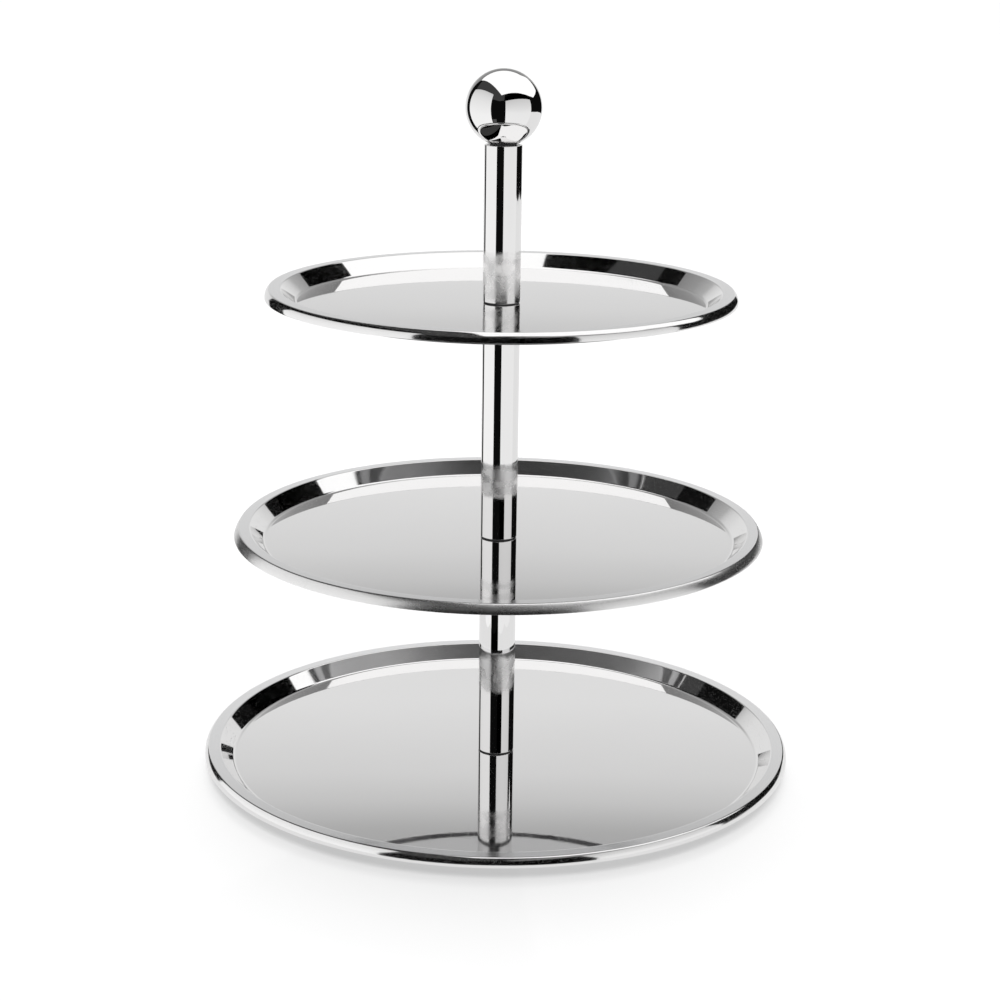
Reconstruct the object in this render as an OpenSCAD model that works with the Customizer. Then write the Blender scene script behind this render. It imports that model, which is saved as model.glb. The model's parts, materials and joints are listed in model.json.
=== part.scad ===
// Three-tier cake stand: three round pressed trays on a screwed column of
// polished tubes, closed at the top by a hollow ball knob.
// Millimetres, +Z up. The origin is on the table, on the axis of the column.

/* [Trays] */
// Outer diameter of the bottom tray
bottom_d = 325; // [290:1:360]
// Outer diameter of the middle tray
middle_d = 288; // [250:1:320]
// Outer diameter of the top tray
top_d = 251; // [200:1:280]
// Thickness of the tray sheet
sheet_t = 1; // [0.8:0.1:1.2]
// Depth of each tray, from its rim down to its floor
tray_depth = 8; // [6:0.5:12]
// Width of the rim, from its inner bend out to its edge
rim_w = 8.5; // [7:0.5:12]
// Horizontal run of the sloping wall, from the rim in to the floor
wall_run = 7.5; // [6:0.5:12]
// Height of the turned-down edge around the rim
lip_h = 5; // [3.6:0.1:5.4]
// How far the turned-down edge flares outwards
lip_run = 2.6; // [1:0.1:3]
// Radius of the bends in the sheet
bend_r = 1; // [0.6:0.1:1.2]

/* [Column] */
// Distance from the bottom tray's floor to the middle tray's floor
lower_gap = 125; // [100:1:160]
// Distance from the middle tray's floor to the top tray's floor
upper_gap = 130; // [100:1:160]
// Length of the tube above the top tray
upper_len = 82.6; // [60:0.1:120]
// Outer diameter of the tubes
tube_d = 20; // [19:0.5:24]
// Wall thickness of the tubes
tube_t = 1.2; // [1:0.1:1.6]
// Rounding of the tube ends
tube_edge = 0.4; // [0.2:0.1:0.6]
// Thickness of the soft ring under each tube
gasket_t = 0.6; // [0.4:0.1:1]
// Diameter of the soft ring under each tube
gasket_d = 19; // [16:0.5:19]

/* [Knob] */
// Diameter of the ball
ball_d = 40; // [34:1:50]
// Wall thickness of the ball
ball_t = 1.2; // [0.8:0.1:2]
// Depth of the flat at the bottom of the ball
ball_flat = 1.6; // [1.5:0.1:1.8]
// Thickness of the soft washer under the ball
knob_washer_t = 0.8; // [0.6:0.1:1.5]
// Diameter of the soft washer under the ball
knob_washer_d = 14; // [12:0.5:15]

/* [Threads] */
// Outer diameter of the screw thread, drawn plain
thread_d = 6; // [5:1:6]
// How far each screw reaches into the plug above it
engage = 10; // [8:0.5:11]
// How far the knob screw reaches into the column
knob_engage = 8; // [6:0.5:11]
// Gap all round between a screw and the plug that turns on it
thread_gap = 0.05; // [0.03:0.01:0.1]
// Length of the threaded plugs in the tube ends
plug_len = 14; // [13:0.5:20]

/* [Base] */
// Height of the rubber feet
foot_h = 6; // [5.6:0.1:10]
// Diameter of the rubber feet
foot_d = 14; // [10:1:20]
// Number of rubber feet
foot_n = 4; // [3:1:6]
// Distance of the feet from the column's axis
foot_pcd_r = 122; // [90:1:125]
// Diameter of the clamping washer below the bottom tray
clamp_d = 36; // [28:1:60]

/* [Hidden] */
$fn = 96;

// Colours
steel = [0.80, 0.81, 0.82];
plug_steel = [0.66, 0.67, 0.68];
zinc = [0.60, 0.61, 0.63];
soft = [0.16, 0.16, 0.17];
rubber = [0.08, 0.08, 0.085];

// Radii
tube_r = tube_d / 2;
bore_r = tube_r - tube_t;
thread_r = thread_d / 2;
hole_r = thread_r + 0.3;
ball_r = ball_d / 2;

// Levels, from the table up
bottom_z = foot_h + sheet_t;
middle_z = bottom_z + lower_gap;
top_z = middle_z + upper_gap;
// What a tier's gap loses to the ring under its tube and the tray above
joint_t = gasket_t + sheet_t;
upper_end_z = top_z + gasket_t + upper_len;
ball_z = upper_end_z + knob_washer_t + ball_r - ball_flat;

// Parts below the bottom tray
pad_t = 0.8;
clamp_t = 1.2;
screw_head_d = 13;
screw_head_h = 3.2;
socket_af = 4;
socket_depth = 2.2;
clamp_z = foot_h - pad_t - clamp_t;
head_z = clamp_z - screw_head_h;

// Depth of a screw in the plug that holds it
stud_seat = 12;
// Closed end left above a threaded hole in the knob's insert
insert_len = 12;
insert_r = 7;

// One tray: flat floor, sloping wall, flat rim and a flared, turned-down edge.
// z is the top of the floor.
module tray(z, d) {
  ro = d / 2;
  rc = ro - rim_w;
  rf = rc - wall_run;
  // sideways shift of the lower face on the slope, for even thickness
  s = sheet_t * tan(atan2(tray_depth, wall_run) / 2);
  b = bend_r * 0.5;
  // the turned-down edge: its rounding, its slope and its thickness measured flat
  e = 0.4;
  slope_h = lip_h - e;
  slope_l = sqrt(slope_h * slope_h + lip_run * lip_run);
  th = sheet_t * slope_l / slope_h;
  translate([0, 0, z])
  rotate_extrude($fn = 180)
  polygon([
    // upper face, from the hole outwards
    [hole_r, 0],
    [rf - b, 0],
    [rf + b * 0.68, b * 0.73],
    [rc - b * 0.68, tray_depth - b * 0.73],
    [rc + b, tray_depth],
    [ro - lip_run - b, tray_depth],
    [ro - lip_run + b * lip_run / slope_l, tray_depth - b * slope_h / slope_l],
    // turned-down edge
    [ro, tray_depth - slope_h],
    [ro - e * 0.3, tray_depth - lip_h + e * 0.3],
    [ro - e, tray_depth - lip_h],
    [ro - th + e * 0.3, tray_depth - lip_h],
    [ro - th, tray_depth - slope_h],
    [ro - th - lip_run * (slope_h - sheet_t) / slope_h, tray_depth - sheet_t],
    // lower face, back to the hole
    [rc + s + b, tray_depth - sheet_t],
    [rc + s - b * 0.68, tray_depth - sheet_t - b * 0.73],
    [rf + s + b * 0.68, -sheet_t + b * 0.73],
    [rf + s - b, -sheet_t],
    [hole_r, -sheet_t]
  ]);
}

// A polished tube with eased ends, from z up
module tube(z, len) {
  translate([0, 0, z])
  rotate_extrude()
  polygon([
    [bore_r, 0],
    [tube_r - tube_edge, 0],
    [tube_r - tube_edge * 0.3, tube_edge * 0.3],
    [tube_r, tube_edge],
    [tube_r, len - tube_edge],
    [tube_r - tube_edge * 0.3, len - tube_edge * 0.3],
    [tube_r - tube_edge, len],
    [bore_r, len]
  ]);
}

// A plug pressed into a tube end, drilled right through and threaded
module plug(z, hole) {
  translate([0, 0, z])
  difference() {
    cylinder(r = bore_r, h = plug_len);
    translate([0, 0, -1]) cylinder(r = hole, h = plug_len + 2, $fn = 48);
  }
}

// A headless screw with eased ends
module stud(z, len) {
  e = 0.6;
  translate([0, 0, z])
  rotate_extrude($fn = 48)
  polygon([[0, 0], [thread_r - e, 0], [thread_r, e], [thread_r, len - e],
           [thread_r - e, len], [0, len]]);
}

// A thin flat ring
module ring(z, outer_r, inner_r, t) {
  translate([0, 0, z])
  difference() {
    cylinder(r = outer_r, h = t);
    translate([0, 0, -1]) cylinder(r = inner_r, h = t + 2, $fn = 48);
  }
}

module ball_knob() {
  color(steel)
  translate([0, 0, ball_z])
  difference() {
    sphere(r = ball_r);
    sphere(r = ball_r - ball_t);
    translate([0, 0, -ball_r - 1]) cylinder(r = insert_r, h = ball_r);
    translate([0, 0, -2 * ball_r + ball_flat - ball_r]) cylinder(r = ball_r, h = 2 * ball_r);
  }
}

module knob_insert() {
  color(plug_steel)
  translate([0, 0, upper_end_z + knob_washer_t])
  difference() {
    cylinder(r = insert_r, h = insert_len);
    translate([0, 0, -1]) cylinder(r = thread_r, h = insert_len - 1, $fn = 48);
  }
}

module knob_stud() {
  color(zinc) stud(upper_end_z - knob_engage, knob_engage + knob_washer_t + insert_len - 2);
}

module knob_washer() {
  color(soft) ring(upper_end_z, knob_washer_d / 2, hole_r, knob_washer_t);
}

module upper_tube() { color(steel) tube(top_z + gasket_t, upper_len); }
module upper_tube_top_plug() { color(plug_steel) plug(upper_end_z - plug_len, thread_r + thread_gap); }
module upper_tube_bottom_plug() { color(plug_steel) plug(top_z + gasket_t, thread_r + thread_gap); }
module upper_gasket() { color(soft) ring(top_z, gasket_d / 2, hole_r, gasket_t); }

module top_tray() { color(steel) tray(top_z, top_d); }
module top_stud() { color(zinc) stud(top_z - sheet_t - stud_seat, stud_seat + sheet_t + gasket_t + engage); }

module middle_tube() { color(steel) tube(middle_z + gasket_t, upper_gap - joint_t); }
module middle_tube_top_plug() { color(plug_steel) plug(top_z - sheet_t - plug_len, thread_r); }
module middle_tube_bottom_plug() { color(plug_steel) plug(middle_z + gasket_t, thread_r + thread_gap); }
module middle_gasket() { color(soft) ring(middle_z, gasket_d / 2, hole_r, gasket_t); }

module middle_tray() { color(steel) tray(middle_z, middle_d); }
module middle_stud() { color(zinc) stud(middle_z - sheet_t - stud_seat, stud_seat + sheet_t + gasket_t + engage); }

module lower_tube() { color(steel) tube(bottom_z + gasket_t, lower_gap - joint_t); }
module lower_tube_top_plug() { color(plug_steel) plug(middle_z - sheet_t - plug_len, thread_r); }
module lower_tube_bottom_plug() { color(plug_steel) plug(bottom_z + gasket_t, thread_r + thread_gap); }
module lower_gasket() { color(soft) ring(bottom_z, gasket_d / 2, hole_r, gasket_t); }

module bottom_tray() { color(steel) tray(bottom_z, bottom_d); }
module base_pad() { color(soft) ring(foot_h - pad_t, clamp_d / 2 + 1, hole_r, pad_t); }
module base_washer() { color(plug_steel) ring(clamp_z, clamp_d / 2, thread_r + 0.2, clamp_t); }

// Low-head screw that clamps the bottom tray to the column from below
module base_screw() {
  hr = screw_head_d / 2;
  color(zinc)
  translate([0, 0, head_z])
  difference() {
    rotate_extrude()
    polygon([
      [0, 0], [hr * 0.55, 0], [hr * 0.82, screw_head_h * 0.3], [hr * 0.96, screw_head_h * 0.65],
      [hr, screw_head_h], [thread_r, screw_head_h],
      [thread_r, bottom_z + gasket_t + engage - head_z - 0.6],
      [thread_r - 0.6, bottom_z + gasket_t + engage - head_z],
      [0, bottom_z + gasket_t + engage - head_z]
    ]);
    translate([0, 0, -1]) cylinder(d = socket_af / cos(30), h = socket_depth + 1, $fn = 6);
  }
}

module rubber_feet() {
  e = 0.8;
  color(rubber)
  for (i = [0:foot_n - 1])
    rotate([0, 0, 45 + i * 360 / foot_n])
    translate([foot_pcd_r, 0, 0])
    rotate_extrude($fn = 48)
    polygon([[0, 0], [foot_d / 2 - e - 0.6, 0], [foot_d / 2 - 0.6, e],
             [foot_d / 2, foot_h], [0, foot_h]]);
}

ball_knob();
knob_insert();
knob_stud();
knob_washer();
upper_tube();
upper_tube_top_plug();
upper_tube_bottom_plug();
upper_gasket();
top_tray();
top_stud();
middle_tube();
middle_tube_top_plug();
middle_tube_bottom_plug();
middle_gasket();
middle_tray();
middle_stud();
lower_tube();
lower_tube_top_plug();
lower_tube_bottom_plug();
lower_gasket();
bottom_tray();
base_pad();
base_washer();
base_screw();
rubber_feet();
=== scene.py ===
"""Looks for a three-tier cake stand: polished trays on a screwed tube column with a ball knob.

Lengths are in metres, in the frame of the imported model: the origin is on the
table on the column's axis, +Z is up and the front faces -Y.
"""

import json
import logging
import math
from dataclasses import dataclass, field
from enum import Enum
from typing import Iterable, Optional, Sequence

import bmesh
import bpy
from mathutils import Matrix, Vector

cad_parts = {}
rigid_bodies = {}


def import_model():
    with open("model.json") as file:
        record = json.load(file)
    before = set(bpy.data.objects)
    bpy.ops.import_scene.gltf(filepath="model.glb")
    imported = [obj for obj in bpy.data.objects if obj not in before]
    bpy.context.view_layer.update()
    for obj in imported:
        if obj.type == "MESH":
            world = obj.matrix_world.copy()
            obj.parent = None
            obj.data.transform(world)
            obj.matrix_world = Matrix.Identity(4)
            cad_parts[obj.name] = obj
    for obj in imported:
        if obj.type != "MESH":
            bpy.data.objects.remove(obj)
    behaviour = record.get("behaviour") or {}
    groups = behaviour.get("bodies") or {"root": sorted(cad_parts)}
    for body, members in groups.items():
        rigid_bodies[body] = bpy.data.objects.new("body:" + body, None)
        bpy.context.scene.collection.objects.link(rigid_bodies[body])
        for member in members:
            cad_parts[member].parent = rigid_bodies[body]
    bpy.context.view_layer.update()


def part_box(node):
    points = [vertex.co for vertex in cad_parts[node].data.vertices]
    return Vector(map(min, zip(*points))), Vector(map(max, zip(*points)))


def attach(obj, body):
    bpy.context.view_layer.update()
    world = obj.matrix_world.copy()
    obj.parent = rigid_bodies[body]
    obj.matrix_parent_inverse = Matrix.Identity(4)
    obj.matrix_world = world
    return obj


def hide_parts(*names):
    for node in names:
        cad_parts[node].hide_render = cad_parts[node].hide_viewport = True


LOG = logging.getLogger("cake_stand")

THREAD = 0.003  # radius of every screw and stud
SCREW_HOLE = 0.0033  # radius of the plain holes they pass through
CLEARANCE = 0.00005  # gap between a thread and its hole
MOUTH = 0.0004  # chamfer where a threaded hole opens
STEEL_IOR = 2.6

# turned-down edges: distance along the edge in metres, slope of its normal in degrees
ROUND_EDGE = ((0.0, 90.0), (0.0008, 40.0), (0.0024, 31.0), (0.0039, 12.0), (0.0053, 3.0))
FLAT_EDGE = ((0.0, 90.0), (0.0008, 37.0), (0.0042, 26.0), (0.0055, 15.0))


# ---------------------------------------------------------------- outlines


class Turned(Enum):
    """The shape of one ring of a turned piece, as its number of flat sides."""

    ROUND = 0
    HEX = 6

    def reach(self, angle: float) -> float:
        """How far the ring reaches at an angle, as a share of its flat-to-centre distance.

        Args:
            angle: the direction from the axis, in radians.

        Returns:
            1 on a round ring, and 1 to 1.155 on a hexagon.
        """
        if self is Turned.ROUND:
            return 1.0
        side = 2 * math.pi / self.value
        off = (angle % side) - side / 2
        return 1.0 / math.cos(off)


@dataclass(frozen=True)
class Corner:
    """One corner of an outline that is turned round the column's axis.

    Args:
        r: distance from the axis.
        z: height.
        bend: radius of the rounding at this corner.
        zone: the finish of the stretch that starts here, as a material number.
        shape: round, or hexagonal for a screw's socket.
    """

    r: float
    z: float
    bend: float = 0.0
    zone: int = 0
    shape: Turned = Turned.ROUND


def curl(roll: Sequence[tuple[float, float]], edge: float, high: float, low: float,
         step: float = 0.0003) -> list[tuple[Vector, Vector]]:
    """A turned-down edge, from the flat where it starts to its lowest point.

    Args:
        roll: distance along the edge and the slope of its normal in degrees, in pairs.
        edge: radius of its outermost point.
        high: height of the flat.
        low: height where it ends.
        step: distance from one point to the next.

    Returns:
        Each point with its outward normal, as radius and height.
    """
    found = []
    r, z, way = 0.0, high, 0.0
    while z > low:
        share = next((k for k in range(1, len(roll)) if way <= roll[k][0]), len(roll) - 1)
        (s0, a0), (s1, a1) = roll[share - 1], roll[share]
        slope = math.radians(a0 + (a1 - a0) * min(1.0, (way - s0) / (s1 - s0)))
        normal = Vector((math.cos(slope), math.sin(slope)))
        found.append((Vector((r, z)), normal))
        r += normal.y * step
        z -= normal.x * step
        way += step
    back = edge - found[-1][0].x
    return [(p + Vector((back, 0.0)), n) for p, n in found]


@dataclass
class Outline:
    """An outline made of corners, with its bends rounded and its flats held straight.

    Args:
        corners: the corners in order.
        closed: whether the last corner joins the first.
        steps: how many stretches a bend is cut into.
        hold: distance from a bend to the extra ring that keeps a flat flat.
    """

    corners: list[Corner]
    closed: bool = True
    steps: int = 7
    hold: float = 0.00015

    def _bend(self, index: int) -> list[Corner]:
        """The points that one corner becomes.

        Args:
            index: the corner's number.

        Returns:
            One point, or the points of its rounding.
        """
        here = self.corners[index]
        last = len(self.corners) - 1
        if here.bend <= 0 or (not self.closed and index in (0, last)):
            return [here]
        before = self.corners[index - 1]
        after = self.corners[(index + 1) % len(self.corners)]
        p = Vector((here.r, here.z))
        a = Vector((before.r, before.z)) - p
        b = Vector((after.r, after.z)) - p
        la, lb = a.length, b.length
        a.normalize()
        b.normalize()
        angle = a.angle(b)
        if angle > math.pi - 0.02:
            return [here]
        cut = min(here.bend / math.tan(angle / 2), 0.47 * la, 0.47 * lb)
        radius = cut * math.tan(angle / 2)
        centre = p + (a + b).normalized() * (radius / math.sin(angle / 2))
        start, end = p + a * cut - centre, p + b * cut - centre
        sweep = start.angle_signed(end)
        points = []
        for k in range(self.steps + 1):
            t = sweep * k / self.steps
            c, s = math.cos(-t), math.sin(-t)
            v = Vector((start.x * c - start.y * s, start.x * s + start.y * c))
            zone = before.zone if k < self.steps / 2 else here.zone
            points.append(Corner(centre.x + v.x, centre.y + v.y, 0.0, zone, here.shape))
        return points

    def spots(self) -> list[Corner]:
        """All points of the outline, in order.

        Returns:
            The points, with rounded bends and the extra points beside them.
        """
        rough: list[Corner] = []
        for i in range(len(self.corners)):
            rough.extend(self._bend(i))
        done: list[Corner] = []
        count = len(rough)
        for i, here in enumerate(rough):
            done.append(here)
            if i == count - 1 and not self.closed:
                break
            nxt = rough[(i + 1) % count]
            run = math.hypot(nxt.r - here.r, nxt.z - here.z)
            if run > 5 * self.hold and here.shape is nxt.shape:
                for t in (self.hold / run, 1 - self.hold / run):
                    done.append(Corner(here.r + (nxt.r - here.r) * t,
                                       here.z + (nxt.z - here.z) * t,
                                       0.0, here.zone, here.shape))
        return done


def link(obj: bpy.types.Object) -> bpy.types.Object:
    """Puts an object in the scene and returns it."""
    bpy.context.scene.collection.objects.link(obj)
    return obj


def turn(name: str, outline: Outline, looks: Sequence[bpy.types.Material],
         around: int = 192) -> bpy.types.Object:
    """Turns an outline round the column's axis into a closed, smooth mesh.

    Args:
        name: the piece's name.
        outline: its outline.
        looks: its materials, in the order of the outline's zones.
        around: how many stretches the full turn is cut into.

    Returns:
        The piece.
    """
    mesh = bpy.data.meshes.new(name)
    bm = bmesh.new()
    rings: list[list[bmesh.types.BMVert]] = []
    spots = outline.spots()
    for spot in spots:
        if spot.r < 1e-7:
            rings.append([bm.verts.new((0.0, 0.0, spot.z))])
            continue
        ring = []
        for k in range(around):
            t = 2 * math.pi * k / around
            r = spot.r * spot.shape.reach(t)
            ring.append(bm.verts.new((r * math.cos(t), r * math.sin(t), spot.z)))
        rings.append(ring)
    pairs = len(rings) if outline.closed else len(rings) - 1
    for i in range(pairs):
        a, b = rings[i], rings[(i + 1) % len(rings)]
        if len(a) == 1 and len(b) == 1:
            continue
        for k in range(around):
            n = (k + 1) % around
            if len(a) == 1:
                face = bm.faces.new((a[0], b[k], b[n]))
            elif len(b) == 1:
                face = bm.faces.new((a[k], b[0], a[n]))
            else:
                face = bm.faces.new((a[k], b[k], b[n], a[n]))
            face.smooth = True
            face.material_index = spots[i].zone
    bmesh.ops.remove_doubles(bm, verts=bm.verts, dist=1e-8)
    bmesh.ops.recalc_face_normals(bm, faces=bm.faces)
    bm.to_mesh(mesh)
    bm.free()
    for look in looks:
        mesh.materials.append(look)
    return link(bpy.data.objects.new(name, mesh))


# ---------------------------------------------------------------- finishes


class Tree:
    """A node tree that is built a node at a time."""

    tree: bpy.types.NodeTree

    def node(self, kind: str, **settings: object) -> bpy.types.Node:
        """Adds a node.

        Args:
            kind: the node's type.
            settings: its properties.

        Returns:
            The node.
        """
        made = self.tree.nodes.new(kind)
        for key, value in settings.items():
            setattr(made, key, value)
        return made

    def join(self, a: bpy.types.NodeSocket, b: bpy.types.NodeSocket) -> None:
        """Links two sockets."""
        self.tree.links.new(a, b)

    def sum(self, op: str, *terms: object, clamp: bool = False) -> bpy.types.NodeSocket:
        """One step of arithmetic.

        Args:
            op: the operation.
            terms: the sockets or numbers that it works on.
            clamp: whether the result is held between 0 and 1.

        Returns:
            The result's socket.
        """
        made = self.node("ShaderNodeMath", operation=op, use_clamp=clamp)
        for slot, value in zip(made.inputs, terms):
            if isinstance(value, bpy.types.NodeSocket):
                self.join(value, slot)
            else:
                slot.default_value = value
        return made.outputs[0]

    def split(self, vector: bpy.types.NodeSocket) -> bpy.types.NodeOutputs:
        """The X, Y and Z of a vector, as sockets with those names."""
        made = self.node("ShaderNodeSeparateXYZ")
        self.join(vector, made.inputs[0])
        return made.outputs


class Sheet(Tree):
    """The node tree of one material."""

    def __init__(self, name: str) -> None:
        """Starts an empty material.

        Args:
            name: the material's name.
        """
        self.material = bpy.data.materials.new(name)
        self.material.use_nodes = True
        self.tree = self.material.node_tree
        self.tree.nodes.clear()
        self.output = self.tree.nodes.new("ShaderNodeOutputMaterial")
        self._coords: Optional[bpy.types.NodeSocket] = None

    def place(self) -> bpy.types.NodeSocket:
        """The point on the piece, in its own coordinates."""
        if self._coords is None:
            self._coords = self.node("ShaderNodeTexCoord").outputs["Object"]
        return self._coords

    def spread(self, value: bpy.types.NodeSocket, low: float, high: float,
               to_low: float, to_high: float, smooth: bool = False) -> bpy.types.NodeSocket:
        """Maps one range to another.

        Args:
            value: the input.
            low: its lowest value.
            high: its highest value.
            to_low: what the lowest becomes.
            to_high: what the highest becomes.
            smooth: whether the ends are eased.

        Returns:
            The result's socket.
        """
        made = self.node("ShaderNodeMapRange",
                         interpolation_type="SMOOTHSTEP" if smooth else "LINEAR")
        self.join(value, made.inputs["Value"])
        for key, number in (("From Min", low), ("From Max", high),
                            ("To Min", to_low), ("To Max", to_high)):
            made.inputs[key].default_value = number
        return made.outputs["Result"]

    def round_coords(self, around: float, out: float) -> bpy.types.NodeSocket:
        """Coordinates that follow the turning of a lathe, without a seam.

        Args:
            around: how fast a pattern changes round the axis.
            out: how fast it changes away from the axis and along it, per metre.

        Returns:
            A vector socket for a texture.
        """
        flat = self.node("ShaderNodeVectorMath", operation="MULTIPLY")
        self.join(self.place(), flat.inputs[0])
        flat.inputs[1].default_value = (1, 1, 0)
        way = self.node("ShaderNodeVectorMath", operation="NORMALIZE")
        self.join(flat.outputs[0], way.inputs[0])
        length = self.node("ShaderNodeVectorMath", operation="LENGTH")
        self.join(flat.outputs[0], length.inputs[0])
        level = self.sum("ADD", length.outputs["Value"], self.split(self.place())["Z"])
        scaled = self.node("ShaderNodeVectorMath", operation="SCALE")
        self.join(way.outputs[0], scaled.inputs[0])
        scaled.inputs["Scale"].default_value = around
        parts = self.split(scaled.outputs[0])
        coords = self.node("ShaderNodeCombineXYZ")
        self.join(parts["X"], coords.inputs["X"])
        self.join(parts["Y"], coords.inputs["Y"])
        self.join(self.sum("MULTIPLY", level, out), coords.inputs["Z"])
        return coords.outputs[0]

    def fall(self, rate: float) -> bpy.types.NodeSocket:
        """A height that falls with the square of the distance from the axis.

        Args:
            rate: how fast it falls, per metre.

        Returns:
            The height's socket, in metres.
        """
        parts = self.split(self.place())
        x, y = parts["X"], parts["Y"]
        square = self.sum("ADD", self.sum("MULTIPLY", x, x), self.sum("MULTIPLY", y, y))
        return self.sum("MULTIPLY", square, -rate)

    def cloud(self, scale: float, detail: float = 2.0,
              coords: Optional[bpy.types.NodeSocket] = None,
              rough: float = 0.5) -> bpy.types.NodeSocket:
        """A soft random pattern from 0 to 1.

        Args:
            scale: how fine it is, per metre.
            detail: how many finer layers it has.
            coords: where it is read, or the piece's own point.
            rough: how strong the finer layers are.

        Returns:
            The pattern's socket.
        """
        made = self.node("ShaderNodeTexNoise")
        self.join(coords or self.place(), made.inputs["Vector"])
        made.inputs["Scale"].default_value = scale
        made.inputs["Detail"].default_value = detail
        made.inputs["Roughness"].default_value = rough
        return made.outputs["Fac"]

    def hairlines(self, turn_deg: float, fine: float, long: float,
                  share: float) -> bpy.types.NodeSocket:
        """Thin straight scratches in one direction, 1 on a scratch and 0 beside it.

        Args:
            turn_deg: their direction.
            fine: how fine they are across, per metre.
            long: how fast they change along their length, per metre.
            share: the threshold above which the pattern is a scratch.

        Returns:
            The scratches' socket.
        """
        made = self.node("ShaderNodeMapping")
        self.join(self.place(), made.inputs["Vector"])
        made.inputs["Rotation"].default_value = (0.3, 0.2, math.radians(turn_deg))
        made.inputs["Scale"].default_value = (fine, long, fine)
        noise = self.cloud(1.0, 1.0, made.outputs[0])
        return self.spread(noise, share, share + 0.03, 0.0, 1.0)

    def bump(self, height: bpy.types.NodeSocket, distance: float,
             below: Optional[bpy.types.NodeSocket] = None) -> bpy.types.NodeSocket:
        """A bump layer.

        Args:
            height: the height pattern, 0 to 1.
            distance: its full height in metres.
            below: the normal that it adds to.

        Returns:
            The normal's socket.
        """
        made = self.node("ShaderNodeBump")
        made.inputs["Strength"].default_value = 1.0
        made.inputs["Distance"].default_value = distance
        self.join(height, made.inputs["Height"])
        if below is not None:
            self.join(below, made.inputs["Normal"])
        return made.outputs["Normal"]

    def surface(self, metallic: float, ior: float = 1.45) -> bpy.types.Node:
        """Adds the main shader and links it to the output.

        Args:
            metallic: 1 for bare metal.
            ior: its index of refraction.

        Returns:
            The shader's node.
        """
        made = self.node("ShaderNodeBsdfPrincipled")
        made.inputs["Metallic"].default_value = metallic
        made.inputs["IOR"].default_value = ior
        self.join(made.outputs[0], self.output.inputs["Surface"])
        return made

    def tint(self, shade: bpy.types.NodeSocket, dark: Sequence[float],
             light: Sequence[float]) -> bpy.types.NodeSocket:
        """Mixes two colours by a pattern.

        Args:
            shade: the pattern, 0 to 1.
            dark: the colour at 0.
            light: the colour at 1.

        Returns:
            The colour's socket.
        """
        made = self.node("ShaderNodeMix", data_type="RGBA")
        self.join(shade, made.inputs["Factor"])
        made.inputs[6].default_value = (*dark, 1)
        made.inputs[7].default_value = (*light, 1)
        return made.outputs[2]


@dataclass(frozen=True)
class MirrorSteel:
    """Buffed stainless steel: a mirror with slight waves, haze and hairlines.

    Args:
        name: the material's name.
        shade: how much light it returns.
        haze: lowest and highest roughness.
        wave: height of the slow waves, in metres.
        wave_size: how many waves to a metre.
        rings: height of the turning marks.
        ring_pitch: how fine the marks are, per metre.
        around: how fast the marks change round the axis.
        lines: how strongly the hairlines roughen the surface.
        crown: how fast the surface falls away from the axis, per metre squared.
        frost: lowest and highest point of a hazy band, if it has one.
        frosting: how much the band roughens the surface.
    """

    name: str
    shade: float = 0.86
    haze: tuple[float, float] = (0.03, 0.07)
    wave: float = 0.00002
    wave_size: float = 14.0
    rings: float = 0.0000012
    ring_pitch: float = 1400.0
    around: float = 3.0
    lines: float = 0.10
    crown: float = 0.0
    frost: Optional[tuple[float, float]] = None
    frosting: float = 0.34

    def hazy_band(self, s: Sheet) -> bpy.types.NodeSocket:
        """The extra roughness of the hazy band.

        Args:
            s: the material that it is for.

        Returns:
            The roughness's socket.
        """
        low, high = self.frost
        soft = 0.0035
        z = s.split(s.place())["Z"]
        band = s.sum("MULTIPLY", s.spread(z, low - soft, low + soft, 0.0, 1.0, True),
                     s.spread(z, high - soft, high + soft, 1.0, 0.0, True))
        mottle = s.spread(s.cloud(160.0, 3.0), 0.35, 0.6, 0.45 * self.frosting, self.frosting)
        return s.sum("MULTIPLY", band, mottle)

    def make(self) -> bpy.types.Material:
        """Builds the material.

        Returns:
            The material.
        """
        s = Sheet(self.name)
        steel = s.surface(1.0, STEEL_IOR)
        stain = s.cloud(9.0, 3.0)
        k = self.shade
        s.join(s.tint(stain, (k - 0.02, k - 0.025, k - 0.026), (k + 0.014, k + 0.01, k + 0.008)),
               steel.inputs["Base Color"])
        marks = s.cloud(1.0, 2.0, s.round_coords(self.around, self.ring_pitch), 0.6)
        haze = s.spread(s.cloud(26.0, 4.0, rough=0.6), 0.3, 0.7, *self.haze)
        haze = s.sum("ADD", haze, s.spread(marks, 0.45, 0.75, 0.0, 0.02))
        lines = s.hairlines(23, 5200, 26, 0.70)
        for turned, fine in ((-41, 6100), (78, 4700)):
            lines = s.sum("MAXIMUM", lines, s.hairlines(turned, fine, 31, 0.71))
        if self.frost:
            haze = s.sum("ADD", haze, self.hazy_band(s))
        s.join(s.sum("ADD", haze, s.sum("MULTIPLY", lines, self.lines), clamp=True),
               steel.inputs["Roughness"])
        normal = s.bump(s.cloud(self.wave_size, 1.0), self.wave)
        normal = s.bump(marks, self.rings, normal)
        if self.crown:
            normal = s.bump(s.fall(self.crown), 1.0, normal)
        s.join(normal, steel.inputs["Normal"])
        return s.material


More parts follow.
